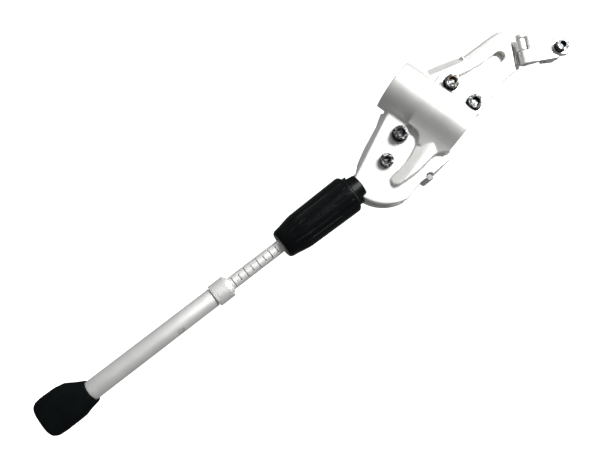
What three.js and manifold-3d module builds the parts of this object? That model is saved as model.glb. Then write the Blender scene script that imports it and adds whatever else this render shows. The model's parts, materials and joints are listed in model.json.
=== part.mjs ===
// Adjustable side kickstand for a bicycle's left rear stays.
// Frame, in millimetres: +X rearward along the chainstay, +Y inboard towards the wheel, +Z up.
// The origin is the middle of the chainstay seat, on the chainstay's own centreline.

import * as THREE from 'three';
import { mergeVertices } from 'three/addons/utils/BufferGeometryUtils.js';
import Module from 'manifold-3d';

const wasm = await Module();
wasm.setup();

// ---------------------------------------------------------------- driving dimensions

const GAP = 0.3; // between pieces that touch on the real stand
const ROUND = 40; // sides of a large turned piece
const SMALL_ROUND = 24; // sides of a small one
const SEAT_ROUND = 88; // sides of the chainstay seat, whose curve is seen best

const SEAT = { outer: 18.5, bore: 15, half: 29.5 }; // half pipe over the chainstay
const PAD = { thick: 2.4, half: 28.5 };
const ARM = { outer: -7, inner: -3 }; // y of the arm's two faces
const CHEEK = { outer: -5.2, inner: 0 }; // outer wall of the leg housing
const REAR_CHEEK = { outer: 12.8, inner: 17.5 }; // wheel-side wall of the leg housing
const CLAMP = { outer: 5, inner: 9, hump: 17.5, half: 24.5 }; // flanges and hump of the back clamp

const PIVOT = { x: -0.7, z: -47.6, mid: 6.5 }; // leg pivot; mid is the leg's own y
const RIM_RADIUS = 29.8; // round edge of the leg housing about the pivot
const UPPER_BOLT = { x: 23.4, z: 19.3 };
const LOWER_BOLT = { x: -4.3, z: -27.4 };
const STOP_PIN = { x: 29.6, z: -38.8, radius: 2.4, near: -3.6 };

const SLOT = { x: -85.6, z: 82.1, radius: 107, half: 3.6, from: -34.3, to: -13.3 }; // curved arm slot
const LINK = { outer: ARM.inner + GAP, inner: 1.8, half: 7 };

const STAY = { x: 34.5, z: 76.5, lean: 46, u: -1, y: -1, seat: 9.1, pad: 1.5 }; // seatstay clamp
const HINGE = { u: -9.9, y: -9, pin: 1.5, knuckle: 3, low: -1.8, high: 6.5 };
const STAY_BOLT = { u: 13.8, y: -12.1, v: -4, tilt: 8, radius: 2.4 };
const JAW = { low: -11.7, high: 9.5, rearLow: -5 }; // heights along the stay

const LEAN = 14.8; // leg leans this far forward of straight down
const SPLAY = 9; // and this far outboard
const LEG_SHIFT = 1.2; // leg axis behind the pivot axis
const ROD = { radius: 4.45, top: 42.3, end: 204 };
const SLEEVE = { top: 25.5, shoulder: 34, wide: 78, end: 93, neck: 11.1, grip: 14, waist: 12.9, tip: 9.6, bore: 8.1 };
const TUBE = { radius: 6.4, bore: 5.3, top: 148.6, end: 264 };
const COLLAR = { radius: 7.7, top: 136.8, end: 148.2 };

// ---------------------------------------------------------------- materials

function metal(colour, roughness, metalness = 0.8) {
  return new THREE.MeshStandardMaterial({ color: colour, roughness, metalness });
}

const castSilver = metal(0xd9d9d6, 0.4, 0.3);
const paleRubber = metal(0xa5a59f, 0.8, 0);
const tubeSilver = metal(0xc6c6c2, 0.35);
const brightSteel = metal(0xb0b3b5, 0.3, 0.95);
const darkSteel = metal(0x5d6163, 0.35, 0.9);
const brass = metal(0xb59a55, 0.4, 0.9);
const blackPlastic = metal(0x121313, 0.5, 0);
const blackRubber = metal(0x181818, 0.8, 0);

// ---------------------------------------------------------------- solids

function weld(geometry) {
  const bare = geometry.index ? geometry.toNonIndexed() : geometry.clone();
  bare.deleteAttribute('normal');
  bare.deleteAttribute('uv');
  const merged = mergeVertices(bare, 1e-4);
  const index = merged.index.array;
  const kept = [];
  for (let i = 0; i < index.length; i += 3) {
    const [a, b, c] = [index[i], index[i + 1], index[i + 2]];
    if (a !== b && b !== c && a !== c) kept.push(a, b, c);
  }
  merged.setIndex(kept);
  return volumeOf(merged) < 0 ? turnedOver(merged) : merged;
}

function volumeOf(geometry) {
  const p = geometry.attributes.position;
  const index = geometry.index.array;
  const [a, b, c] = [new THREE.Vector3(), new THREE.Vector3(), new THREE.Vector3()];
  let volume = 0;
  for (let i = 0; i < index.length; i += 3) {
    a.fromBufferAttribute(p, index[i]);
    b.fromBufferAttribute(p, index[i + 1]);
    c.fromBufferAttribute(p, index[i + 2]);
    volume += a.dot(b.cross(c)) / 6;
  }
  return volume;
}

function turnedOver(geometry) {
  const index = Array.from(geometry.index.array);
  for (let i = 0; i < index.length; i += 3) {
    [index[i + 1], index[i + 2]] = [index[i + 2], index[i + 1]];
  }
  geometry.setIndex(index);
  return geometry;
}

// A solid for manifold from a three.js geometry, placed by an optional matrix.
function solid(geometry, matrix = null) {
  const placed = matrix ? geometry.clone().applyMatrix4(matrix) : geometry;
  const welded = weld(placed);
  const mesh = new wasm.Mesh({
    numProp: 3,
    vertProperties: new Float32Array(welded.attributes.position.array),
    triVerts: new Uint32Array(welded.index.array),
  });
  return new wasm.Manifold(mesh);
}

function geometryOf(body) {
  const mesh = body.getMesh();
  const geometry = new THREE.BufferGeometry();
  const points = new Float32Array(mesh.numVert * 3);
  for (let i = 0; i < mesh.numVert; i += 1) {
    for (let k = 0; k < 3; k += 1) points[i * 3 + k] = mesh.vertProperties[i * mesh.numProp + k];
  }
  geometry.setAttribute('position', new THREE.BufferAttribute(points, 3));
  geometry.setIndex(Array.from(mesh.triVerts));
  return geometry;
}

function joined(...bodies) {
  return bodies.reduce((whole, body) => whole.add(body));
}

function cut(body, ...tools) {
  return tools.reduce((left, tool) => left.subtract(tool), body);
}

function radians(degrees) {
  return THREE.MathUtils.degToRad(degrees);
}

// ---------------------------------------------------------------- shape helpers

// Closed outline through points; a point with a third number is the control of a curve to the next one.
function outline(points) {
  const shape = new THREE.Shape();
  shape.moveTo(points[0][0], points[0][1]);
  for (let i = 1; i < points.length; i += 1) {
    const [x, z, bend] = points[i];
    if (bend) {
      const [endX, endZ] = points[i + 1] ?? points[0];
      shape.quadraticCurveTo(x, z, endX, endZ);
      i += 1;
    } else {
      shape.lineTo(x, z);
    }
  }
  shape.closePath();
  return shape;
}

// Plate whose outline lies in X and Z, from y = near to y = far.
function plate(shape, near, far, curveSegments = 5) {
  const options = { depth: far - near, bevelEnabled: false, curveSegments };
  const geometry = new THREE.ExtrudeGeometry(shape, options);
  return geometry.rotateX(Math.PI / 2).translate(0, far, 0);
}

// Bar whose outline lies in X and Y, from z = low to z = high.
function bar(shape, low, high, curveSegments = 6) {
  const options = { depth: high - low, bevelEnabled: false, curveSegments };
  const geometry = new THREE.ExtrudeGeometry(shape, options);
  return geometry.translate(0, 0, low);
}

// Turned piece about +Z from a profile of [radius, z] points.
function turned(profile, sides = ROUND) {
  const points = profile.map(([radius, z]) => new THREE.Vector2(radius, z));
  return new THREE.LatheGeometry(points, sides).rotateX(Math.PI / 2);
}

function rod(radius, low, high, sides = SMALL_ROUND) {
  return turned([[0, low], [radius, low], [radius, high], [0, high]], sides);
}

function ring(inner, outer, low, high, sides = SMALL_ROUND) {
  return turned([[inner, low], [outer, low], [outer, high], [inner, high], [inner, low]], sides);
}

// Places a piece made about +Z so that its axis points inboard from (x, y, z).
function inboard(geometry, x, y, z) {
  return geometry.clone().rotateX(-Math.PI / 2).translate(x, y, z);
}

function hole(at, radius, sides = SMALL_ROUND) {
  return solid(inboard(rod(radius, -40, 40, sides), at.x, 0, at.z));
}

// Flat counterbore that lets a washer or a nut sit square.
function spotFace(at, radius, near, far) {
  return solid(inboard(rod(radius, near, far, SMALL_ROUND), at.x, 0, at.z));
}

function pieOutline(centre, radius, fromDegrees, toDegrees, rest) {
  const shape = new THREE.Shape();
  shape.moveTo(rest[0][0], rest[0][1]);
  rest.slice(1).forEach(([x, z]) => shape.lineTo(x, z));
  shape.absarc(centre.x, centre.z, radius, radians(fromDegrees), radians(toDegrees), false);
  shape.closePath();
  return shape;
}

// ---------------------------------------------------------------- the assembly

const group = new THREE.Group();

function add(parent, name, geometry, material) {
  const mesh = new THREE.Mesh(weld(geometry), material);
  mesh.name = name;
  parent.add(mesh);
  return mesh;
}

// ---------------------------------------------------------------- front casting

function armOutline() {
  return outline([
    [-17, 3], [-17, 18], [-14, 29, true], [-9, 34], [-2.8, 42.6], [4.2, 66], [6.5, 74, true],
    [14.2, 75.3], [33.3, 55.7], [29.4, 42, true], [31, 22.6], [31, 3],
  ]);
}

function fingerOutline() {
  return outline([
    [-4.4, -10], [-4.4, -19.4], [3, -19.6], [9, -21, true], [9.9, -31.3], [12, -42, true],
    [9.4, -51.5], [7.8, -57.8, true], [12.4, -58.3], [15.5, -58, true], [16.6, -54],
    [21.5, -42, true], [22.3, -29.6], [23.5, -21, true], [29.4, -19.5], [29.4, -10],
  ]);
}

// Side view, in Y and Z, of the hollow curve in which the seat runs out into the finger.
function filletProfile() {
  return outline([
    [-3, -8], [-16.7, -8], [-14.7, -11.3], [-12.5, -14.4], [-10.9, -17], [-9.7, -19.6],
    [-8.7, -22.2], [-7.4, -26], [-3, -26],
  ]);
}

// Section of the finger, in X and Y: a ridge with a broad forward flank.
function ridgeProfile() {
  return outline([
    [-8, -3], [-8, -5.6], [8.6, -5.6], [12, -7.2], [15, -8.8], [17.2, -9.5], [20, -9.1], [24, -8.1],
    [31, -7], [31, -3],
  ]);
}

function cheekOutline() {
  return pieOutline(PIVOT, RIM_RADIUS, -107.2, -24.2, [
    [26.2, -53.5], [27, -45], [28.3, -40.6], [30.2, -36], [33.4, -21.8], [30, -16],
    [-26, -16], [-24.2, -20], [-21.3, -28.7], [-20, -37.6], [-18.5, -48.1], [-16.2, -57], [-12.5, -66],
  ]);
}

function rearCheekOutline() {
  return pieOutline(PIVOT, RIM_RADIUS, -107.2, -24.2, [
    [26.2, -53.5], [28.3, -41], [31.4, -35.3], [-20, -35.3], [-18.5, -48.1], [-16.2, -57], [-12.5, -66],
  ]);
}

function leftWallOutline() {
  return outline([
    [-24.2, -20], [-21.3, -28.7], [-20, -37.6], [-18.5, -48.1], [-16.2, -58],
    [-12, -58], [-14.2, -46], [-15.6, -34], [-17, -20],
  ]);
}

function rearLugOutline() {
  return outline([
    [29.5, -16.5], [33.4, -21.8], [31.4, -35.3], [29.5, -40.5],
    [26.8, -41.5], [26.6, -30], [27.4, -21], [25.5, -16.5],
  ]);
}

function slotOutline() {
  const shape = new THREE.Shape();
  const [from, to] = [radians(SLOT.from), radians(SLOT.to)];
  const end = (angle) => [SLOT.x + SLOT.radius * Math.cos(angle), SLOT.z + SLOT.radius * Math.sin(angle)];
  const [startX, startZ] = end(from);
  const [endX, endZ] = end(to);
  shape.absarc(SLOT.x, SLOT.z, SLOT.radius + SLOT.half, from, to, false);
  shape.absarc(endX, endZ, SLOT.half, to, to + Math.PI, false);
  shape.absarc(SLOT.x, SLOT.z, SLOT.radius - SLOT.half, to, from, true);
  shape.absarc(startX, startZ, SLOT.half, from + Math.PI, from + 2 * Math.PI, false);
  return shape;
}

const SLOT_START = {
  x: SLOT.x + SLOT.radius * Math.cos(radians(SLOT.from)),
  z: SLOT.z + SLOT.radius * Math.sin(radians(SLOT.from)),
};

// Cylinder along X, for the chainstay seat.
function alongX(radius, half, sides = ROUND) {
  return rod(radius, -half, half, sides).rotateY(Math.PI / 2);
}

// Half space box between two y values, wide enough for any piece.
function slab(near, far, size = 400) {
  return solid(new THREE.BoxGeometry(size, far - near, size).translate(0, (near + far) / 2, 0));
}

// Block that cuts a sloping face: through the point, holding both directions, outside the casting.
function slopeTool(point, along, across, length) {
  const run = new THREE.Vector3(...along).normalize();
  const rise = new THREE.Vector3(...across).projectOnPlane(run).normalize();
  const out = new THREE.Vector3().crossVectors(rise, run);
  if (out.y > 0) out.negate();
  const basis = new THREE.Matrix4().makeBasis(rise, out, new THREE.Vector3().crossVectors(rise, out));
  basis.setPosition(new THREE.Vector3(...point).addScaledVector(out, 10));
  return solid(new THREE.BoxGeometry(40, 20, length), basis);
}

// Sloping outer side of the housing's left wall.
function leftSlopeTool() {
  return slopeTool([-16.8, CHEEK.outer, -36], [0.17, 0, -0.985], [-3.9, 6.6, 0], 120);
}

// The arm's forward edge falls away in two steps along its upper part and one along its foot.
function armBevelTools() {
  const [upper, lower] = [[0.286, 0, 0.958], [0.5, 0, 0.866]];
  return [
    slopeTool([8, ARM.outer, 58.6], upper, [-5, 2.3, 1.5], 36),
    slopeTool([4.6, ARM.outer + 1.5, 59.6], upper, [-3.6, 5.4, 1.1], 36),
    slopeTool([-5.4, ARM.outer, 28.9], lower, [-5, 3.9, 2.9], 26),
  ];
}

// Thin gusset between the arm's foot and the seat.
function gusset(x) {
  const shape = new THREE.Shape();
  shape.moveTo(-3, 12);
  shape.lineTo(-14.2, 12);
  shape.lineTo(-7, 22.5);
  shape.lineTo(-3, 22.5);
  shape.closePath();
  const side = new THREE.ExtrudeGeometry(shape, { depth: 1.1, bevelEnabled: false });
  return solid(side, new THREE.Matrix4().set(0, 0, 1, x, 1, 0, 0, 0, 0, 1, 0, 0, 0, 0, 0, 1));
}

function frontCasting() {
  const seat = solid(alongX(SEAT.outer, SEAT.half, SEAT_ROUND)).intersect(slab(-40, 0));
  const side = new THREE.ExtrudeGeometry(filletProfile(), { depth: 80, bevelEnabled: false });
  const toSide = new THREE.Matrix4().set(0, 0, 1, -40, 1, 0, 0, 0, 0, 1, 0, 0, 0, 0, 0, 1);
  const fingerBlank = solid(plate(fingerOutline(), -20, -3));
  const finger = fingerBlank.intersect(joined(solid(side, toSide), solid(bar(ridgeProfile(), -64, -9))));
  const arm = cut(solid(plate(armOutline(), ARM.outer, ARM.inner)), ...armBevelTools());
  const frontWall = cut(solid(plate(cheekOutline(), CHEEK.outer, CHEEK.inner, 20)), leftSlopeTool());
  const leftWall = cut(solid(plate(leftWallOutline(), CHEEK.outer, REAR_CHEEK.inner)), leftSlopeTool());
  const body = joined(
    seat,
    arm,
    finger,
    frontWall,
    leftWall,
    solid(plate(rearLugOutline(), -2, REAR_CHEEK.inner)),
    solid(plate(rearCheekOutline(), REAR_CHEEK.outer, REAR_CHEEK.inner, 20)),
    gusset(-6.4),
    gusset(-4.2),
  );
  return cut(
    body,
    solid(alongX(SEAT.bore, SEAT.half + 5)),
    solid(plate(slotOutline(), -20, 20, 10)),
    hole(UPPER_BOLT, 3 + GAP),
    hole(LOWER_BOLT, 3 + GAP),
    hole(PIVOT, 3 + GAP),
    hole(STOP_PIN, STOP_PIN.radius + GAP),
    spotFace(UPPER_BOLT, 7.2, -40, ARM.outer),
    spotFace(SLOT_START, 7.2, -40, ARM.outer),
    spotFace(LOWER_BOLT, 7.2, -40, CHEEK.outer),
  );
}

add(group, 'front_casting', geometryOf(frontCasting()), castSilver);

// ---------------------------------------------------------------- back clamp and chainstay pads

function backClamp() {
  const pipe = cut(solid(alongX(CLAMP.hump, CLAMP.half)), slab(-60, CLAMP.outer));
  const upper = outline([
    [15, 10], [15, 20], [17, 27, true], [24.5, 27.4], [31.5, 27.4, true], [31, 19.6], [31, 10],
  ]);
  const lower = outline([
    [-13, -10], [-13, -26], [-12.5, -33, true], [-3.8, -33.4],
    [5, -33.4, true], [8, -26], [22, -19], [23, -10],
  ]);
  const flanges = joined(
    solid(plate(upper, CLAMP.outer, CLAMP.inner)),
    solid(plate(lower, CLAMP.outer, CLAMP.inner)),
  );
  return cut(
    joined(pipe, flanges),
    solid(alongX(SEAT.bore, 60)),
    hole(UPPER_BOLT, 3 + GAP),
    hole(LOWER_BOLT, 3 + GAP),
    spotFace(UPPER_BOLT, 6.4, CLAMP.inner, 40),
    spotFace(LOWER_BOLT, 6.4, CLAMP.inner, 40),
  );
}

function chainstayPad(near, far) {
  const shell = cut(solid(alongX(SEAT.bore - GAP, PAD.half)), solid(alongX(SEAT.bore - GAP - PAD.thick, 60)));
  return geometryOf(shell.intersect(slab(near, far)));
}

add(group, 'back_clamp', geometryOf(backClamp()), castSilver);
add(group, 'chainstay_pad_front', chainstayPad(-40, 0), blackRubber);
add(group, 'chainstay_pad_back', chainstayPad(CLAMP.outer + 0.5, 40), blackRubber);

// ---------------------------------------------------------------- screws, washers and nuts

// Socket head screw about +Z: the head's seat is at z = 0 and the shank runs to z = length.
function socketScrew({ head, height, shank, length, key }) {
  const bevel = height * 0.22;
  const blank = solid(turned([
    [0, -height], [head - bevel, -height], [head, bevel - height], [head, 0],
    [shank, 0], [shank, length - 0.6], [shank - 0.6, length], [0, length],
  ], SMALL_ROUND));
  const socket = solid(rod(key / Math.sqrt(3), -height - 1, -height * 0.4, 6));
  return geometryOf(cut(blank, socket));
}

function hexNut(flats, bore, height) {
  const corner = flats / Math.sqrt(3);
  const blank = solid(rod(corner, 0, height, 6));
  const chamfer = solid(turned([
    [0, -1], [corner - 0.5, -1], [corner - 0.5, 0], [corner + 0.2, 0.5],
    [corner + 0.2, height - 0.5], [corner - 0.5, height], [corner - 0.5, height + 1], [0, height + 1],
  ], SMALL_ROUND));
  return geometryOf(cut(blank.intersect(chamfer), solid(rod(bore, -2, height + 2, 16))));
}

// Split spring washer: a ring with one slanted cut.
function lockWasher(inner, outer, low, high) {
  const gapTool = new THREE.BoxGeometry(outer * 2, 0.9, (high - low) * 3).rotateX(radians(20));
  const body = cut(solid(ring(inner, outer, low, high)), solid(gapTool.translate(outer, 0, (low + high) / 2)));
  return geometryOf(body);
}

const M6 = { head: 5, height: 3.4, shank: 3, key: 5 };

// Screw with a spring washer and a flat washer on a face at y = face.
function addScrewStack(parent, prefix, at, face, screw, flatWasher = 6.4) {
  const [flat, spring] = [1, 0.9];
  const seat = face - flat - spring - 3 * 0.08;
  add(parent, `${prefix}_bolt`, inboard(socketScrew(screw), at.x, seat, at.z), darkSteel);
  const lock = lockWasher(screw.shank + 0.25, screw.head + 0.5, 0.08, spring + 0.08);
  add(parent, `${prefix}_lock_washer`, inboard(lock, at.x, seat, at.z), darkSteel);
  const washer = ring(screw.shank + 0.3, flatWasher, spring + 0.16, spring + flat + 0.16);
  add(parent, `${prefix}_washer`, inboard(washer, at.x, seat, at.z), brightSteel);
}

addScrewStack(group, 'upper_clamp', UPPER_BOLT, ARM.outer, { ...M6, length: 26 });
addScrewStack(group, 'lower_clamp', LOWER_BOLT, CHEEK.outer, { ...M6, length: 24.5 });
for (const [name, at] of [['upper_clamp_nut', UPPER_BOLT], ['lower_clamp_nut', LOWER_BOLT]]) {
  add(group, name, inboard(hexNut(9.8, 3.15, 5), at.x, CLAMP.inner + GAP, at.z), darkSteel);
}

// ---------------------------------------------------------------- leg pivot

const PIVOT_SCREW = { head: 4.9, height: 3.2, shank: 3, length: 28.6, key: 4 };
const pivotSeat = CHEEK.outer - 0.1;
add(group, 'pivot_bolt', inboard(socketScrew(PIVOT_SCREW), PIVOT.x, pivotSeat, PIVOT.z), darkSteel);
const bush = ring(3.1, 6, 0.15, REAR_CHEEK.outer - 0.15, ROUND);
add(group, 'pivot_bush', inboard(bush, PIVOT.x, 0, PIVOT.z), brass);
const pivotWasher = ring(3.3, 6, 0.1, 1.1);
add(group, 'pivot_washer', inboard(pivotWasher, PIVOT.x, REAR_CHEEK.inner, PIVOT.z), brightSteel);
add(group, 'pivot_nut', inboard(hexNut(9.8, 3.15, 4.6), PIVOT.x, REAR_CHEEK.inner + 1.3, PIVOT.z), darkSteel);
const stopPin = turned([[0, 0], [1.9, 0], [2.4, 0.5], [2.4, 21], [1.9, 21.5], [0, 21.5]], 16);
add(group, 'stop_pin', inboard(stopPin, STOP_PIN.x, STOP_PIN.near, STOP_PIN.z), brightSteel);

// ---------------------------------------------------------------- stay link, in the arm's slot

const stayFrame = new THREE.Matrix4()
  .makeTranslation(STAY.x, 0, STAY.z)
  .multiply(new THREE.Matrix4().makeRotationY(-radians(STAY.lean)));

// Piece whose section lies in the stay frame's own X and Y, between two heights along the stay.
function staySolid(shape, low, high) {
  return solid(bar(shape, low, high), stayFrame);
}

function circle(u, y, radius) {
  const shape = new THREE.Shape();
  shape.absarc(u, y, radius, 0, 2 * Math.PI, false);
  return shape;
}

function linkStrapOutline() {
  const shape = new THREE.Shape();
  const [from, to] = [radians(SLOT.from), radians(-8)];
  shape.absarc(SLOT.x, SLOT.z, SLOT.radius + LINK.half, from, to, false);
  shape.lineTo(34, 60.5);
  shape.lineTo(16, 78);
  shape.lineTo(9, 70);
  shape.absarc(SLOT.x, SLOT.z, SLOT.radius - LINK.half, radians(-12), from, true);
  shape.absarc(SLOT_START.x, SLOT_START.z, LINK.half - 0.2, from + Math.PI, from + 2 * Math.PI, false);
  return shape;
}

// Barrel of the hinge with its root, between the jaw's two knuckles.
function linkKnuckle() {
  const root = outline([[-12.9, -9], [-7, -9], [-7, -3.8], [-13.6, -3.8], [-13.6, -5]]);
  return joined(
    staySolid(circle(HINGE.u, HINGE.y, HINGE.knuckle), HINGE.low, HINGE.high),
    staySolid(root, HINGE.low, HINGE.high),
  );
}

// Rear jaw: the far half of a ring round the stay, and the ear that the stay bolt is threaded into.
function rearJaw() {
  const ring = staySolid(circle(STAY.u, STAY.y, STAY.seat + 3.4), JAW.rearLow, JAW.high);
  const axis = new THREE.Vector2(-Math.sin(radians(STAY_BOLT.tilt)), Math.cos(radians(STAY_BOLT.tilt)));
  const side = new THREE.Vector2(axis.y, -axis.x);
  const at = (along, across) => [
    STAY_BOLT.u + axis.x * along + side.x * across,
    STAY_BOLT.y + axis.y * along + side.y * across,
  ];
  const ear = outline([at(9, 5), at(17.4, 5), at(17.4, -5.4), at(9, -5.4)]);
  return joined(ring.intersect(slab(-0.6, 40)), staySolid(ear, JAW.rearLow - 3, 2));
}

function stayBoltMatrix() {
  const turn = new THREE.Matrix4().makeRotationX(-Math.PI / 2);
  const tilt = new THREE.Matrix4().makeRotationZ(radians(STAY_BOLT.tilt));
  const shift = new THREE.Matrix4().makeTranslation(STAY_BOLT.u, STAY_BOLT.y, STAY_BOLT.v);
  return stayFrame.clone().multiply(shift).multiply(tilt).multiply(turn);
}

function stayLink() {
  const strap = solid(plate(linkStrapOutline(), LINK.outer, LINK.inner, 12));
  const wall = staySolid(outline([[-13.6, -4.2], [-6, -4.2], [-6, 4.8], [-13.6, 4.8]]), -9.4, JAW.high);
  const screwHole = hole(SLOT_START, 3.15);
  return cut(
    joined(strap, wall, linkKnuckle(), rearJaw()),
    staySolid(circle(STAY.u, STAY.y, STAY.seat), -40, 40),
    staySolid(circle(HINGE.u, HINGE.y, HINGE.pin + 0.1), -40, 40),
    solid(rod(STAY_BOLT.radius + 0.4, 0, 40), stayBoltMatrix()),
    solid(alongX(SEAT.outer + GAP, 60)),
    screwHole,
  );
}

add(group, 'stay_link', geometryOf(stayLink()), castSilver);
addScrewStack(group, 'link', SLOT_START, ARM.outer, { ...M6, length: 12 });

// ---------------------------------------------------------------- hinged jaw, pads and stay bolt

function jawOutline() {
  return outline([
    [HINGE.u, -12.1], [9.6, -12.3], [19.2, -10.6], [18.7, -7.2], [10.5, -7.4], [6, -5.2], [-8.6, -5.2],
  ]);
}

// One of the overlapping bores that make the jaw's bolt hole a slot, so that the jaw swings past the bolt.
function boltSlotTool(shift) {
  const bore = rod(STAY_BOLT.radius + 1, -20, 30).translate(shift, 0, 0);
  return solid(bore, stayBoltMatrix());
}

function stayJaw() {
  const blank = staySolid(jawOutline(), JAW.low, JAW.high);
  const ears = staySolid(circle(HINGE.u, HINGE.y, HINGE.knuckle), JAW.low, JAW.high);
  const notchRight = HINGE.u + HINGE.knuckle + 0.4;
  const notchShape = outline([[-20, -20], [notchRight, -20], [notchRight, 5], [-20, 5]]);
  const notch = staySolid(notchShape, HINGE.low - GAP, HINGE.high + GAP);
  const earTrim = [[-20, -9.4], [2.6, 30]].map(([low, high]) => (
    staySolid(outline([[12, -20], [30, -20], [30, 5], [12, 5]]), low, high)
  ));
  return cut(
    joined(cut(blank, ...earTrim), ears),
    notch,
    staySolid(circle(STAY.u, STAY.y, STAY.seat), -40, 40),
    staySolid(circle(HINGE.u, HINGE.y, HINGE.pin + 0.1), -40, 40),
    ...[-0.6, 0.6, 1.8].map((shift) => boltSlotTool(shift)),
    solid(rod(6.3, -20, 1.2), stayBoltMatrix()),
  );
}

// Pad inside a jaw, kept right of the left limit and between two y values, from a height up.
function stayPad(left, near, far, low) {
  const outer = staySolid(circle(STAY.u, STAY.y, STAY.seat - GAP), low, JAW.high - 0.6);
  const inner = staySolid(circle(STAY.u, STAY.y, STAY.seat - GAP - STAY.pad), -40, 40);
  const span = outline([[left, near], [40, near], [40, far], [left, far]]);
  return geometryOf(cut(outer, inner).intersect(staySolid(span, -40, 40)));
}

add(group, 'stay_jaw', geometryOf(stayJaw()), castSilver);
add(group, 'stay_pad_front', stayPad(-5.2, -40, -4.9, JAW.low + 0.6), paleRubber);
add(group, 'stay_pad_back', stayPad(-40, 0.2, 40, JAW.rearLow + 0.6), paleRubber);
add(group, 'hinge_pin', geometryOf(staySolid(circle(HINGE.u, HINGE.y, HINGE.pin), JAW.low + 0.4, JAW.high - 0.4)), brightSteel);

const STAY_SCREW = { head: 4.3, height: 3.4, shank: STAY_BOLT.radius, length: 18.6, key: 4 };
const boltFrame = stayBoltMatrix();
const stayWasher = ring(STAY_BOLT.radius + 0.3, 4.9, 0.1, 1.1);
add(group, 'stay_bolt', socketScrew(STAY_SCREW).applyMatrix4(boltFrame), darkSteel);
add(group, 'stay_bolt_washer', stayWasher.applyMatrix4(boltFrame), brightSteel);

// ---------------------------------------------------------------- leg

// The swing frame turns about the pivot; the leg frame's +Z runs down the leg from the pivot axis.
const swing = new THREE.Group();
swing.position.set(PIVOT.x, 0, PIVOT.z);
swing.rotation.y = radians(LEAN);
group.add(swing);

const leg = new THREE.Group();
leg.position.set(LEG_SHIFT, PIVOT.mid, 0);
leg.rotation.x = Math.PI - radians(SPLAY);
leg.updateMatrix();
swing.add(leg);

function inSwing(geometry) {
  return solid(geometry, leg.matrix);
}

function swingCylinder(radius, near, far, sides = ROUND) {
  return solid(inboard(rod(radius, near, far, sides), 0, 0, 0));
}

function legHead() {
  const [near, far] = [0.4, 12.4];
  const eye = swingCylinder(12.5, near, far);
  const web = solid(plate(outline([[-7.6, 0], [-6.6, -32], [8.4, -32], [10.5, 0]]), near, far));
  const boss = inSwing(rod(7.5, 22, 60, ROUND));
  const housing = swingCylinder(RIM_RADIUS + 0.6, -40, 60);
  const slotSlab = slab(near, far);
  const inner = joined(eye, web.intersect(swingCylinder(RIM_RADIUS + 0.4, -40, 60)), boss.intersect(slotSlab));
  const outer = cut(boss, housing);
  return cut(
    joined(inner, outer),
    swingCylinder(6 + 0.2, -40, 60),
    solid(rod(3.2, -27, -2, SMALL_ROUND).translate(0, PIVOT.mid, 0)),
    inSwing(rod(ROD.radius + 0.2, ROD.top - 0.3, 80, SMALL_ROUND)),
    inSwing(rod(1.6, -20, 20, 16).rotateX(Math.PI / 2).translate(0, 0, 52)),
  );
}

function gripSleeve() {
  const blank = inSwing(turned([
    [0, SLEEVE.top], [SLEEVE.neck - 0.8, SLEEVE.top], [SLEEVE.neck, SLEEVE.top + 1],
    [SLEEVE.neck, SLEEVE.shoulder - 0.6],
    [SLEEVE.grip - 0.7, SLEEVE.shoulder], [SLEEVE.grip, SLEEVE.shoulder + 1.2], [SLEEVE.waist, SLEEVE.wide],
    [SLEEVE.tip + 1.2, SLEEVE.end - 2.4], [SLEEVE.tip, SLEEVE.end], [0, SLEEVE.end],
  ]));
  return cut(
    blank,
    inSwing(rod(SLEEVE.bore, 0, 64, SMALL_ROUND)),
    inSwing(rod(ROD.radius + 0.4, 0, 120, SMALL_ROUND)),
    swingCylinder(RIM_RADIUS + 0.6, CHEEK.outer - 0.4, 60),
  );
}

add(swing, 'leg_head', geometryOf(legHead()), castSilver);
add(swing, 'grip_sleeve', geometryOf(gripSleeve()), blackPlastic);

const plunger = turned([[0, 6.9], [1.6, 7.2], [2.7, 8.4], [2.95, 9.6], [2.95, 16.8], [0, 16.8]], SMALL_ROUND);

// The detent lies square to the pivot axis, inside the leg head.
const detent = new THREE.Group();
detent.position.set(0, PIVOT.mid, 0);
detent.rotation.x = Math.PI;
detent.updateMatrix();
swing.add(detent);
add(detent, 'detent_plunger', plunger, brightSteel);

class Coil extends THREE.Curve {
  constructor(radius, low, high, turns) {
    super();
    Object.assign(this, { radius, low, high, turns });
  }

  getPoint(t, target = new THREE.Vector3()) {
    const angle = 2 * Math.PI * this.turns * t;
    const height = this.low + (this.high - this.low) * t;
    return target.set(this.radius * Math.cos(angle), this.radius * Math.sin(angle), height);
  }
}

function coilSpring(radius, wire, low, high, turns) {
  const section = new THREE.Shape();
  section.absarc(0, 0, wire, 0, 2 * Math.PI, false);
  const path = new Coil(radius, low, high, turns);
  const options = { steps: turns * 12, curveSegments: 3, extrudePath: path, bevelEnabled: false };
  return new THREE.ExtrudeGeometry(section, options);
}

add(detent, 'detent_spring', coilSpring(2.2, 0.45, 18.4, 26.2, 6), brightSteel);
add(leg, 'rod_cross_pin', rod(1.4, -7.3, 7.3, 16).rotateX(Math.PI / 2).translate(0, 0, 52), brightSteel);

function graduatedRod() {
  const blank = solid(turned([
    [0, ROD.top], [ROD.radius - 0.5, ROD.top], [ROD.radius, ROD.top + 0.5],
    [ROD.radius, ROD.end - 12.2], [3.2, ROD.end - 12], [3.2, ROD.end], [0, ROD.end],
  ], 32));
  return geometryOf(cut(blank, solid(rod(1.6, -20, 20, 16).rotateX(Math.PI / 2).translate(0, 0, 52))));
}

add(leg, 'graduated_rod', graduatedRod(), tubeSilver);
add(leg, 'rod_guide', ring(3.4, 5.1, ROD.end - 11.5, ROD.end - 1.5), blackPlastic);

// ---------------------------------------------------------------- sliding lower leg

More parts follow.
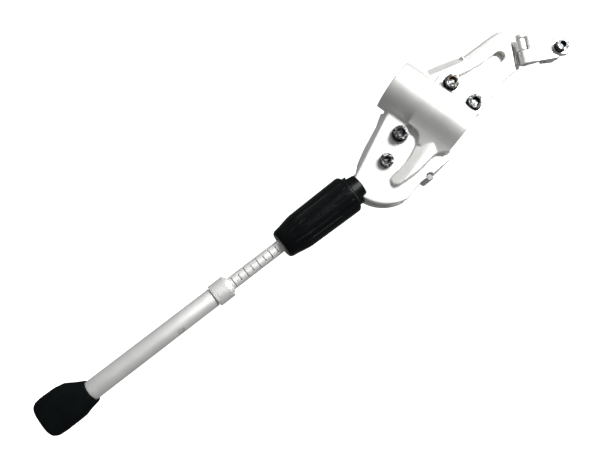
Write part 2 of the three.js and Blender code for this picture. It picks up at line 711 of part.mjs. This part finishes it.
function outerTube() {
  return turned([
    [TUBE.bore, TUBE.top], [TUBE.radius - 0.3, TUBE.top], [TUBE.radius, TUBE.top + 0.3],
    [TUBE.radius, TUBE.end], [TUBE.bore, TUBE.end], [TUBE.bore, TUBE.top],
  ], ROUND);
}

// Split collet that the collar squeezes onto the rod: four slots from its rod end.
function collet() {
  const blank = solid(turned([
    [4.6, 135.4], [5.5, 135.4], [5.9, 136.4], [5.9, 148.2],
    [5.1, 148.2], [5.1, 160], [4.6, 160], [4.6, 135.4],
  ], SMALL_ROUND));
  const slots = [0, Math.PI / 2].map((turn) => (
    solid(new THREE.BoxGeometry(20, 0.8, 10).rotateZ(turn).translate(0, 0, 139))
  ));
  return geometryOf(cut(blank, ...slots));
}

function lockCollar() {
  return turned([
    [6.1, COLLAR.top], [COLLAR.radius - 0.5, COLLAR.top], [COLLAR.radius, COLLAR.top + 0.5],
    [COLLAR.radius, COLLAR.end - 0.4], [COLLAR.radius - 0.4, COLLAR.end], [6.1, COLLAR.end], [6.1, COLLAR.top],
  ], ROUND);
}

add(leg, 'lock_collar', lockCollar(), tubeSilver);
add(leg, 'collet', collet(), tubeSilver);
add(leg, 'outer_tube', outerTube(), tubeSilver);
const endPlug = turned([[0, 245], [3.2, 245], [3.2, 248], [5.05, 248], [5.05, 263.4], [0, 263.4]], SMALL_ROUND);
add(leg, 'tube_plug', endPlug, blackPlastic);

// Rubber foot: a turned blank drawn out, mostly forwards, into a broad rounded wedge.
// Each row gives the distance down the leg, the half width, the half depth and the sideways shift.
const FOOT_ROWS = [
  [240.2, 7.45, 7.45, 0.3], [241, 7.8, 7.7, 0.2], [246, 9.7, 8.3, -0.9], [251, 12.1, 8.9, -1.9],
  [256, 12.7, 9.4, -2.4], [265, 12.8, 9.6, -2.5], [268.6, 12.4, 9.3, -2.5], [270.6, 11.2, 8.4, -2.5],
  [271.5, 9.2, 6.8, -2.5],
];

function footBlank() {
  const [top, end] = [FOOT_ROWS[0][0], FOOT_ROWS[FOOT_ROWS.length - 1][0]];
  const geometry = turned([[0, top], ...FOOT_ROWS.map(([s]) => [1, s]), [0, end]], ROUND);
  const p = geometry.attributes.position;
  for (let i = 0; i < p.count; i += 1) {
    const row = FOOT_ROWS.find(([s]) => Math.abs(s - p.getZ(i)) < 0.01);
    const [s, half, depth, shift] = row;
    const square = 1 - 0.3 * Math.min(1, (s - top) / 14);
    const shaped = (value) => Math.sign(value) * Math.abs(value) ** square;
    const angle = Math.atan2(p.getY(i), p.getX(i));
    const share = Math.min(1, Math.hypot(p.getX(i), p.getY(i)));
    p.setX(i, share * shaped(Math.cos(angle)) * half + shift);
    p.setY(i, share * shaped(Math.sin(angle)) * depth);
  }
  return geometry;
}

function rubberFoot() {
  return geometryOf(cut(solid(footBlank()), solid(rod(TUBE.radius + GAP, 200, TUBE.end + GAP, ROUND))));
}

add(leg, 'rubber_foot', rubberFoot(), blackRubber);

export default group;
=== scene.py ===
"""Looks of an adjustable bicycle side kickstand, around its CAD frame. Metres, except where a
profile or a screw's measures say millimetres."""
import json
import math

import bmesh
import bpy
from mathutils import Matrix, Vector


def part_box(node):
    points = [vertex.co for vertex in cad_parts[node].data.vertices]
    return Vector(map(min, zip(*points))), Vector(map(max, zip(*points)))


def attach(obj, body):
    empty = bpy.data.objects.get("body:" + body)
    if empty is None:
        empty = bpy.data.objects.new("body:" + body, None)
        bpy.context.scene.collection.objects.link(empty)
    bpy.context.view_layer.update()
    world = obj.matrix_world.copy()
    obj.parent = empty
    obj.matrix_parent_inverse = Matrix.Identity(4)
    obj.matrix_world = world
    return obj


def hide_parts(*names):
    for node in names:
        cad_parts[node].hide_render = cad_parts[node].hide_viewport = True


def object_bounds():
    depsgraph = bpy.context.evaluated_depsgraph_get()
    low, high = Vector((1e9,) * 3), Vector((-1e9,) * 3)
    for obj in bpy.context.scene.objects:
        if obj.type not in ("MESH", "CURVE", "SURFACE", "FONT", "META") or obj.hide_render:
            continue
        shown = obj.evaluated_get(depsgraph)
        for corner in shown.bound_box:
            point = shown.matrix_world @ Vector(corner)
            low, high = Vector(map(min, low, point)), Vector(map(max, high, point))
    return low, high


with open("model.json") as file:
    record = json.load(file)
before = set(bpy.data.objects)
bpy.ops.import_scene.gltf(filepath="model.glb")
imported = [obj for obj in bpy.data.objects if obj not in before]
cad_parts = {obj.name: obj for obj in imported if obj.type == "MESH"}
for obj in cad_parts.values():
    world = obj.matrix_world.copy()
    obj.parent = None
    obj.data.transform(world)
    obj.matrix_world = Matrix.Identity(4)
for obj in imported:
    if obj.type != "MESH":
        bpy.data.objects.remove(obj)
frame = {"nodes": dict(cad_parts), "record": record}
nodes = frame["nodes"]
record = frame["record"]
cad_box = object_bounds()
MM = 0.001
joints = {joint["name"]: joint for joint in record["behaviour"]["joints"]}


# ---------------------------------------------------------------- camera, floor and light

CAMERA_AT = Vector((0.00782, -0.32280, -0.13616))
CAMERA_RIGHT = Vector((0.79815, 0.04000, 0.60112))
CAMERA_UP = Vector((-0.59539, -0.10000, 0.79719))
CAMERA_BACK = Vector((0.09200, -0.99418, -0.05600))
SENSOR_WIDTH, FOCAL_LENGTH = 36, 28.2  # millimetres, as Blender counts them
LIT_POINT = Vector((0, 0, -0.11))  # both lamps face the middle of the stand
WORLD_LIGHT = 0.22
FLOOR_DROP = 0.0266  # below the sole at rest, so that the leg can be drawn out to its full length
STAGE_HALF, WALL_HALF, WALL_AT, WALL_TOP = 3, 4, 1.6, 3
FLOOR_GLOW, WALL_GLOW = 0.97, 1.0


def matrix_of(x, y, z, at):
    """Placement whose own axes point along x, y and z, with its origin at a point."""
    rotation = Matrix((x, y, z)).transposed().to_4x4()
    return Matrix.Translation(at) @ rotation


def make_camera():
    data = bpy.data.cameras.new("camera")
    data.sensor_width = SENSOR_WIDTH
    data.lens = FOCAL_LENGTH
    camera = bpy.data.objects.new("camera", data)
    camera.matrix_world = matrix_of(CAMERA_RIGHT, CAMERA_UP, CAMERA_BACK, CAMERA_AT)
    bpy.context.scene.collection.objects.link(camera)
    bpy.context.scene.camera = camera


def image_point(right, up, forward):
    """A point given in the camera's own right, up and forward directions, in metres."""
    return CAMERA_AT + CAMERA_RIGHT * right + CAMERA_UP * up - CAMERA_BACK * forward


def area_light(name, at, target, size, power):
    data = bpy.data.lights.new(name, "AREA")
    data.shape = "RECTANGLE"
    data.size, data.size_y = size
    data.energy = power
    light = bpy.data.objects.new(name, data)
    light.location = at
    light.rotation_mode = "QUATERNION"
    light.rotation_quaternion = (target - at).to_track_quat("-Z", "Y")
    bpy.context.scene.collection.objects.link(light)


def make_lights():
    area_light("key", image_point(0.55, 0.57, -0.27), LIT_POINT, (0.45, 0.40), 13.5)
    area_light("fill", image_point(-0.42, 0.86, 0.02), LIT_POINT, (0.5, 0.4), 0.8)


def make_world():
    world = bpy.data.worlds.new("studio")
    world.use_nodes = True
    background = world.node_tree.nodes["Background"]
    background.inputs["Color"].default_value = (1, 1, 1, 1)
    background.inputs["Strength"].default_value = WORLD_LIGHT
    bpy.context.scene.world = world
    bpy.context.scene.view_settings.view_transform = "Standard"


def stage_material(name, glow):
    material = bpy.data.materials.new(name)
    material.use_nodes = True
    shader = material.node_tree.nodes["Principled BSDF"]
    shader.inputs["Base Color"].default_value = (0.9, 0.9, 0.9, 1)
    shader.inputs["Roughness"].default_value = 0.9
    shader.inputs["Emission Color"].default_value = (1, 1, 1, 1)
    shader.inputs["Emission Strength"].default_value = glow
    return material


def make_stage():
    low = cad_box[0].z - FLOOR_DROP
    half, wide = STAGE_HALF, WALL_HALF
    floor = [(-half, -half, low), (half, -half, low), (half, WALL_AT, low), (-half, WALL_AT, low)]
    wall_foot = [(-wide, WALL_AT, low - 1), (wide, WALL_AT, low - 1)]
    wall_head = [(wide, WALL_AT, WALL_TOP), (-wide, WALL_AT, WALL_TOP)]
    for name, corners, glow in (
        ("floor", floor, FLOOR_GLOW),
        ("backdrop", wall_foot + wall_head, WALL_GLOW),
    ):
        mesh = bpy.data.meshes.new(name)
        mesh.from_pydata(corners, [], [(0, 1, 2, 3)])
        mesh.materials.append(stage_material(name, glow))
        plane = bpy.data.objects.new(name, mesh)
        plane.visible_diffuse = False
        plane.visible_glossy = False
        bpy.context.scene.collection.objects.link(plane)


# ---------------------------------------------------------------- node material kit


class Surface:
    """A principled material with small helpers for procedural detail."""

    def __init__(self, name):
        self.material = bpy.data.materials.new(name)
        self.material.use_nodes = True
        self.tree = self.material.node_tree
        self.shader = self.tree.nodes["Principled BSDF"]
        self.coords = self.tree.nodes.new("ShaderNodeTexCoord").outputs["Object"]

    def link(self, source, target):
        self.tree.links.new(source, target)

    def set(self, **values):
        for key, value in values.items():
            self.shader.inputs[key.replace("_", " ")].default_value = value

    def node(self, kind, inputs=None, **properties):
        made = self.tree.nodes.new(kind)
        for key, value in properties.items():
            setattr(made, key, value)
        for key, value in (inputs or {}).items():
            if hasattr(value, "is_output"):
                self.link(value, made.inputs[key])
            else:
                made.inputs[key].default_value = value
        return made

    def noise(self, scale, detail=3.0, roughness=0.55):
        inputs = {"Vector": self.coords, "Scale": scale, "Detail": detail, "Roughness": roughness}
        return self.node("ShaderNodeTexNoise", inputs).outputs["Fac"]

    def distance(self, point):
        made = self.node("ShaderNodeVectorMath", operation="DISTANCE")
        self.link(self.coords, made.inputs[0])
        made.inputs[1].default_value = point
        return made.outputs["Value"]

    def ramp(self, factor, stops):
        made = self.node("ShaderNodeValToRGB", {"Fac": factor})
        elements = made.color_ramp.elements
        while len(elements) < len(stops):
            elements.new(0.5)
        for element, (position, colour) in zip(elements, stops):
            element.position = position
            grey = not hasattr(colour, "__len__")
            element.color = (colour, colour, colour, 1) if grey else (*colour, 1)
        return made.outputs["Color"]

    def mix(self, factor, first, second, blend="MIX"):
        made = self.node("ShaderNodeMix", data_type="RGBA", blend_type=blend)
        for socket, value in (("Factor", factor), ("A", first), ("B", second)):
            target = [i for i in made.inputs if i.name == socket and i.enabled][0]
            if hasattr(value, "is_output"):
                self.link(value, target)
            elif socket == "Factor":
                target.default_value = value
            else:
                target.default_value = (*value, 1)
        return [o for o in made.outputs if o.enabled][0]

    def bump(self, height, strength, distance, normal=None):
        inputs = {"Height": height, "Strength": strength, "Distance": distance}
        if normal:
            inputs["Normal"] = normal
        return self.node("ShaderNodeBump", inputs).outputs["Normal"]

    def finish(self, colour=None, roughness=None, normal=None):
        for socket, value in (("Base Color", colour), ("Roughness", roughness), ("Normal", normal)):
            if value is not None:
                self.link(value, self.shader.inputs[socket])
        return self.material


def cast_metal():
    s = Surface("cast_silver")
    s.set(Metallic=0.75)
    cloud = s.noise(45, 4)
    speck = s.noise(420, 4, 0.7)
    colour = s.ramp(cloud, [(0.3, (0.84, 0.84, 0.815)), (0.7, (0.90, 0.90, 0.885))])
    colour = s.mix(s.ramp(speck, [(0.70, 0.0), (0.78, 0.5)]), colour, (0.62, 0.60, 0.55))
    roughness = s.ramp(cloud, [(0.3, 0.46), (0.7, 0.56)])
    fine = s.bump(s.noise(900, 2), 0.12, 0.0002)
    return s.finish(colour, roughness, s.bump(s.noise(140, 3), 0.15, 0.0006, fine))


def satin_tube(name="tube_silver", stained=None):
    s = Surface(name)
    s.set(Metallic=0.8)
    grain = s.noise(1400, 2, 0.6)
    cloud = s.noise(30, 3)
    colour = s.ramp(cloud, [(0.3, (0.87, 0.87, 0.855)), (0.7, (0.93, 0.93, 0.92))])
    roughness = s.ramp(s.noise(60, 4), [(0.3, 0.54), (0.7, 0.64)])
    if stained:
        patch = s.ramp(s.distance(stained), [(0.0, 1.0), (0.0011, 0.75), (0.0034, 0.0)])
        broken = s.ramp(s.noise(700, 5, 0.75), [(0.46, 0.0), (0.56, 1.0)])
        colour = s.mix(s.mix(1.0, patch, broken, "MULTIPLY"), colour, (0.13, 0.075, 0.03))
    return s.finish(colour, roughness, s.bump(grain, 0.25, 0.0001))


def bright_steel():
    s = Surface("bright_steel")
    s.set(Metallic=1.0)
    cloud = s.noise(240, 4)
    colour = s.ramp(cloud, [(0.3, (0.60, 0.61, 0.62)), (0.7, (0.74, 0.75, 0.76))])
    roughness = s.ramp(cloud, [(0.3, 0.22), (0.7, 0.38)])
    return s.finish(colour, roughness, s.bump(s.noise(1600, 2), 0.12, 0.0001))


def dark_steel(name="dark_steel", rust=0.0):
    s = Surface(name)
    s.set(Metallic=1.0)
    cloud = s.noise(320, 4)
    colour = s.ramp(cloud, [(0.38, (0.012, 0.014, 0.015)), (0.66, (0.085, 0.09, 0.095))])
    if rust:
        spread = 0.25 * rust
        blotch = s.ramp(s.noise(520, 5, 0.7), [(0.58 - spread, 0.0), (0.70 - spread, 1.0)])
        brown = s.ramp(s.noise(900, 3), [(0.3, (0.07, 0.042, 0.022)), (0.7, (0.26, 0.18, 0.10))])
        colour = s.mix(blotch, colour, brown)
    roughness = s.ramp(cloud, [(0.3, 0.30), (0.7, 0.42 + 0.2 * rust)])
    return s.finish(colour, roughness, s.bump(s.noise(1200, 3), 0.2, 0.0001))


# Mottled dark and bright steel. In the rod's scale ticks it is the marks' own fill. On the screw
# heads' rims and socket floors its bright blotches are painted glints that stand in for highlights.
def scale_mark_and_painted_glint():
    s = Surface("scale_mark_and_painted_glint")
    s.set(Metallic=0.8)
    cloud = s.noise(620, 4, 0.65)
    colour = s.ramp(cloud, [(0.50, (0.03, 0.032, 0.034)), (0.62, (0.62, 0.62, 0.61))])
    roughness = s.ramp(cloud, [(0.3, 0.3), (0.7, 0.4)])
    return s.finish(colour, roughness, s.bump(s.noise(1500, 3), 0.25, 0.0001))


def turned_brass():
    s = Surface("brass")
    s.set(Metallic=1.0)
    cloud = s.noise(160, 4)
    colour = s.ramp(cloud, [(0.3, (0.55, 0.42, 0.18)), (0.7, (0.74, 0.60, 0.30))])
    roughness = s.ramp(cloud, [(0.3, 0.28), (0.7, 0.42)])
    return s.finish(colour, roughness, s.bump(s.noise(1500, 2), 0.1, 0.0001))


def black_plastic():
    s = Surface("black_plastic")
    s.set(Specular_IOR_Level=0.09)
    cloud = s.noise(70, 4)
    colour = s.ramp(cloud, [(0.3, (0.0014, 0.0019, 0.0021)), (0.7, (0.0032, 0.0040, 0.0043))])
    roughness = s.ramp(s.noise(240, 4), [(0.3, 0.26), (0.7, 0.38)])
    return s.finish(colour, roughness, s.bump(s.noise(1600, 2), 0.18, 0.0001))


def black_rubber():
    s = Surface("black_rubber")
    s.set(Specular_IOR_Level=0.05)
    cloud = s.noise(80, 4)
    dust = s.ramp(s.noise(300, 5, 0.7), [(0.62, 0.0), (0.80, 0.25)])
    colour = s.ramp(cloud, [(0.3, (0.0016, 0.0026, 0.0029)), (0.7, (0.0042, 0.0058, 0.0062))])
    colour = s.mix(dust, colour, (0.03, 0.03, 0.028))
    roughness = s.ramp(cloud, [(0.3, 0.55), (0.7, 0.75)])
    return s.finish(colour, roughness, s.bump(s.noise(1100, 3), 0.3, 0.0002))


def pale_rubber():
    s = Surface("pale_rubber")
    s.set(Specular_IOR_Level=0.3)
    cloud = s.noise(90, 4)
    colour = s.ramp(cloud, [(0.3, (0.36, 0.36, 0.34)), (0.7, (0.46, 0.46, 0.43))])
    roughness = s.ramp(cloud, [(0.3, 0.6), (0.7, 0.8)])
    return s.finish(colour, roughness, s.bump(s.noise(900, 3), 0.2, 0.0002))


make_world()
make_camera()
make_lights()
make_stage()

SURFACES = {
    "cast_silver": cast_metal(),
    "tube_silver": satin_tube(),
    "bright_steel": bright_steel(),
    "dark_steel": dark_steel(),
    "brass": turned_brass(),
    "black_plastic": black_plastic(),
    "black_rubber": black_rubber(),
    "pale_rubber": pale_rubber(),
}
for entry in record["subparts"]:
    mesh = nodes[entry["node"]].data
    mesh.materials.clear()
    mesh.materials.append(SURFACES[entry["material_slot"]])


# ---------------------------------------------------------------- shape kit


def soften(node, voxel, passes):
    """Rounds a casting's edges: a fine remesh, then a little smoothing."""
    remesh = nodes[node].modifiers.new("remesh", "REMESH")
    remesh.mode = "VOXEL"
    remesh.voxel_size = voxel
    remesh.use_smooth_shade = True
    smooth = nodes[node].modifiers.new("smooth", "SMOOTH")
    smooth.factor = 0.5
    smooth.iterations = passes


def bevelled(thing, width, segments=3):
    bevel = thing.modifiers.new("bevel", "BEVEL")
    bevel.width = width
    bevel.segments = segments
    bevel.limit_method = "ANGLE"
    bevel.angle_limit = math.radians(32)
    return thing


def smooth_shaded(mesh, sharp=32):
    for face in mesh.polygons:
        face.use_smooth = True
    mesh.set_sharp_from_angle(angle=math.radians(sharp))


def mesh_object(name, points, faces):
    mesh = bpy.data.meshes.new(name)
    mesh.from_pydata(points, [], faces)
    made = bpy.data.objects.new(name, mesh)
    bpy.context.scene.collection.objects.link(made)
    return made


def turned(name, profile, sides, place, shaped=None):
    """Turned body from (radius, height) points in mm; shaped may vary a radius by angle."""
    closed = profile[0] == profile[-1]
    rows = profile[:-1] if closed else profile
    points, starts = [], []
    for radius, height in rows:
        starts.append((len(points), radius > 0))
        for k in range(sides if radius > 0 else 1):
            angle = 2 * math.pi * k / sides
            r = shaped(radius, height, angle) if shaped else radius
            points.append(place @ (Vector((r * math.cos(angle), r * math.sin(angle), height)) * MM))
    faces = []
    pairs = list(zip(starts, starts[1:]))
    if closed:
        pairs.append((starts[-1], starts[0]))
    for (low, low_ring), (high, high_ring) in pairs:
        for k in range(sides):
            nxt = (k + 1) % sides
            if low_ring and high_ring:
                faces.append((low + k, low + nxt, high + nxt, high + k))
            elif high_ring:
                faces.append((low, high + nxt, high + k))
            else:
                faces.append((low + k, low + nxt, high))
    made = mesh_object(name, points, faces)
    bm = bmesh.new()
    bm.from_mesh(made.data)
    bmesh.ops.recalc_face_normals(bm, faces=bm.faces)
    bm.to_mesh(made.data)
    bm.free()
    return made


def carve(thing, *cutters):
    """Cuts the cutters out of a piece for good and throws the cutters away."""
    for cutter in cutters:
        cutting = thing.modifiers.new("cut", "BOOLEAN")
        cutting.object = cutter
        cutting.solver = "EXACT"
    bpy.context.view_layer.update()
    ready = thing.evaluated_get(bpy.context.evaluated_depsgraph_get())
    carved = bpy.data.meshes.new_from_object(ready)
    thing.modifiers.clear()
    thing.data = carved
    for cutter in cutters:
        bpy.data.objects.remove(cutter)


def install(piece, node, sharp=32):
    """Puts a finished piece in the place of a CAD node."""
    entry = next(e for e in record["subparts"] if e["node"] == node)
    piece.data.materials.clear()
    piece.data.materials.append(SURFACES[SPECIAL.get(node, entry["material_slot"])])
    smooth_shaded(piece.data, sharp)
    body = next(name for name, members in record["behaviour"]["bodies"].items() if node in members)
    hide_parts(node)
    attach(piece, body)


def aimed(at, axis):
    """Frame at a point whose +Z runs along the axis."""
    z = axis.normalized()
    x = z.cross(Vector((0, 0, 1))).normalized()
    return matrix_of(x, z.cross(x), z, at)


# ---------------------------------------------------------------- leg pieces

down_leg = Vector(joints["collar_twist"]["axis"]).normalized()
across_leg = down_leg.cross(Vector((0, 1, 0))).normalized()
COLLAR_MIDDLE = 142.5 * MM  # down the leg from its start
leg_start = Vector(joints["collar_twist"]["pos_m"]) - down_leg * COLLAR_MIDDLE
leg_frame = matrix_of(across_leg, down_leg.cross(across_leg), down_leg, leg_start)
pivot_at = Vector(joints["leg_pivot"]["pos_m"])

SCALE_FACES = math.radians(84)  # angle round the rod that its scale looks along
TICK_PITCH = 5.0
FIRST_TICK, LAST_TICK = 97.8, 172.9
TUBE_RADIUS = 6.4


def angle_apart(a, b):
    return abs((a - b + math.pi) % (2 * math.pi) - math.pi)


def make_rod():
    radius, top, end, groove = 4.45, 42.3, 204.0, 0.25
    profile = [(0, top), (radius - 0.5, top), (radius, top + 0.5)]
    ticks = []
    mark = FIRST_TICK
    while mark < LAST_TICK:
        ticks.append(mark)
        profile += [(radius, mark + step) for step in (-0.36, -0.24, 0.24, 0.36)]
        mark += TICK_PITCH
    profile += [(radius, end - 12.2), (3.2, end - 12)]
    profile += [(3.2, end - 0.3), (2.9, end), (0, end)]

    def scaled(r, height, angle):
        """Ticks cut part of the way round: every second one is long."""
        for count, tick in enumerate(ticks):
            if abs(height - tick) < 0.3:
                reach = math.radians(62 if count % 2 else 34)
                return r - (groove if angle_apart(angle, SCALE_FACES) < reach else 0)
        return r

    scale = turned("rod_with_scale", profile, 144, leg_frame, scaled)
    install(scale, "graduated_rod")
    # Faces sunk in the tick grooves take the mottled dark and bright steel as the scale's marking.
    scale.data.materials.append(SURFACES["scale_mark_and_painted_glint"])
    to_leg = leg_frame.inverted()
    for face in scale.data.polygons:
        middle = (to_leg @ face.center) / MM
        sunk = math.hypot(middle.x, middle.y) < radius - groove * 0.8
        if sunk and FIRST_TICK - 1 < middle.z < LAST_TICK:
            face.material_index = 1


def make_tube():
    bore, radius, top, end = 5.3, TUBE_RADIUS, 148.6, 264.0
    profile = [
        (bore, top), (radius - 0.45, top), (radius - 0.12, top + 0.14), (radius, top + 0.5),
        (radius, top + 60), (radius, end - 0.4), (radius - 0.3, end),
        (bore, end), (bore, top + 40), (bore, top),
    ]
    install(turned("drawn_tube", profile, 96, leg_frame), "outer_tube")


def ring_line(radius, at, depth, half=0.16):
    """Profile points of a fine groove turned round a piece, its floor 0.4 of its width."""
    floor = half * 0.4
    return [
        (radius, at - half), (radius - depth, at - floor),
        (radius - depth, at + floor), (radius, at + half),
    ]


def make_collar():
    bore, radius, top, end = 6.1, 7.7, 136.8, 148.2
    profile = [(bore, top), (radius - 0.5, top)]
    profile += [(radius - 0.3, top + 0.2), (radius - 0.3, top + 0.6)]
    profile += [(radius - 0.1, top + 0.65), (radius, top + 0.8)]
    for at, depth in ((top + 1.9, 0.22), (top + 3.1, 0.22), (end - 2.6, 0.3), (end - 1.2, 0.22)):
        profile += ring_line(radius, at, depth)
    profile += [(radius, end - 0.4), (radius - 0.35, end), (bore, end), (bore, top)]
    install(turned("ringed_collar", profile, 96, leg_frame), "lock_collar")


def make_grip():
    top, shoulder, wide, end = 25.5, 34.0, 78.0, 93.0
    neck, grip, waist, tip = 11.1, 14.0, 12.9, 9.6
    profile = [(0, top), (neck - 1.0, top), (neck - 0.3, top + 0.3), (neck, top + 1)]
    profile += [(neck, shoulder - 1.0), (neck + 0.25, shoulder - 0.55)]
    profile += [(grip - 1.5, shoulder - 0.15), (grip - 0.5, shoulder + 0.3)]
    profile += [(grip - 0.1, shoulder + 1.0)]
    body = [shoulder + 1.8 + 0.6 * k for k in range(4)] + [shoulder + 6 + 3 * k for k in range(12)]
    slope = (grip - waist) / (wide - shoulder)
    profile += [(grip - slope * (at - shoulder), at) for at in body]
    profile += [(waist, wide - 1.0), (waist - 0.25, wide + 1.0)]
    profile += [(waist - 1.0, wide + 5), (waist - 1.8, wide + 9)]
    profile += [(tip + 0.9, end - 1.9), (tip + 0.3, end - 0.7), (tip - 0.4, end), (0, end)]
    groove_ends = (shoulder + 3.0, wide + 6.5)
    grooves = [math.radians(20 * k + 4) for k in range(18)]

    def fluted(r, height, angle):
        if not groove_ends[0] < height < groove_ends[1]:
            return r
        nearest = min(angle_apart(angle, g) for g in grooves)
        return r - 0.4 * max(0.0, 1 - (nearest * r / 0.5) ** 2)

    sleeve = turned("fluted_grip", profile, 360, leg_frame, fluted)
    bore = turned("bore", [(0, -5), (8.1, -5), (8.1, 64), (0, 64)], 48, leg_frame)
    rod_way = turned("rod_way", [(0, -5), (4.85, -5), (4.85, 110), (0, 110)], 48, leg_frame)
    housing_way = aimed(Vector((pivot_at.x, 0, pivot_at.z)), Vector((0, 1, 0)))
    housing = turned("housing", [(0, -5.6), (30.4, -5.6), (30.4, 60), (0, 60)], 192, housing_way)
    carve(sleeve, bore, rod_way, housing)
    install(bevelled(sleeve, 0.25 * MM, 2), "grip_sleeve", 40)


# ---------------------------------------------------------------- screws


THREAD_DEPTH, THREAD_PITCH, THREADED_LENGTH = 0.42, 1.0, 14.0


def make_screw(name, node, seat, inward, head, height, shank, length, key):
    """Socket head screw: knurled head, countersunk hexagon, threaded end."""
    place = aimed(seat, inward)
    edge = 0.5
    corner = key / math.sqrt(3)
    profile = [(0, -height), (corner + 0.5, -height), (head - edge - 0.3, -height)]
    profile += [(head - edge * 0.35, 0.12 - height)]
    profile += [(head, edge - height), (head, edge + 0.25 - height), (head, -0.35)]
    profile += [(head - 0.3, 0), (shank, 0)]
    at = max(1.0, length - THREADED_LENGTH)
    while at < length - 1.2:
        root = shank - THREAD_DEPTH
        profile += [(shank, at), (root, at + 0.4), (root, at + 0.5), (shank, at + 0.9)]
        at += THREAD_PITCH
    profile += [(shank, length - 0.7), (shank - 0.6, length), (0, length)]

    def knurled(r, z, angle):
        if r == head and z <= -0.3:
            return r - 0.16 * (0.5 + 0.5 * math.cos(angle * 40))
        return r

    screw = turned(name, profile, 160, place, knurled)
    depth = height * 0.62
    above, below = -height - 1, depth - height
    socket = [(0, above), (corner, above), (corner, below), (0, below)]
    hexagon = turned(name + "_key", socket, 6, place)
    above, below = -height - 0.5, 0.35 - height
    countersink = [(0, above), (corner + 0.35, above), (corner - 0.35, below), (0, below)]
    mouth = turned(name + "_mouth", countersink, 48, place)
    carve(screw, hexagon, mouth)
    install(screw, node, 38)
    # The head's top rim and the socket floor take the mottled steel: painted glints, bright
    # blotches that stand in for highlights on the dark head.
    screw.data.materials.append(SURFACES["scale_mark_and_painted_glint"])
    to_screw = place.inverted()
    for face in screw.data.polygons:
        middle = (to_screw @ face.center) / MM
        out = math.hypot(middle.x, middle.y)
        rim = middle.z < 0.3 - height and out > corner + 0.4
        floor = abs(middle.z - (depth - height)) < 0.05 and out < corner
        if rim or floor:
            face.material_index = 1


def make_screws():
    inboard = Vector((0, 1, 0))
    for node, head, height, shank, key in (
        ("upper_clamp_bolt", 5.0, 3.4, 3.0, 5.0),
        ("lower_clamp_bolt", 5.0, 3.4, 3.0, 5.0),
        ("link_bolt", 5.0, 3.4, 3.0, 5.0),
        ("pivot_bolt", 4.9, 3.2, 3.0, 4.0),
    ):
        low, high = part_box(node)
        seat = Vector(((low.x + high.x) / 2, low.y + height * MM, (low.z + high.z) / 2))
        length = (high.y - seat.y) / MM
        make_screw("screw_" + node, node, seat, inboard, head, height, shank, length, key)
    low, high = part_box("stay_bolt_washer")
    out = Vector(joints["stay_bolt_travel"]["axis"]).normalized()
    seat = (low + high) / 2 + out * 0.6 * MM
    make_screw("screw_stay_bolt", "stay_bolt", seat, -out, 4.3, 3.4, 2.4, 18.6, 4.0)


SPECIAL = {"link_bolt": "rusty_steel", "outer_tube": "stained_tube"}
SURFACES["rusty_steel"] = dark_steel("rusty_steel", 0.4)
SURFACES["scale_mark_and_painted_glint"] = scale_mark_and_painted_glint()
STAIN = (31, 177.0)  # degrees round the tube and millimetres down the leg
stain_turn = math.radians(STAIN[0])
stain_across = Vector((math.cos(stain_turn), math.sin(stain_turn), 0)) * TUBE_RADIUS
stain_at = leg_frame @ ((stain_across + Vector((0, 0, STAIN[1]))) * MM)
SURFACES["stained_tube"] = satin_tube("stained_tube", stain_at)

CAST_PIECES = ("front_casting", "back_clamp", "stay_link", "stay_jaw", "leg_head")
for casting in CAST_PIECES:
    soften(casting, 0.45 * MM, 6)
soften("rubber_foot", 0.5 * MM, 10)
make_rod()
make_tube()
make_collar()
make_grip()
make_screws()
for entry in record["subparts"]:
    if entry["node"].endswith(("_washer", "_nut", "_pin")):
        bevelled(nodes[entry["node"]], 0.18 * MM, 2)
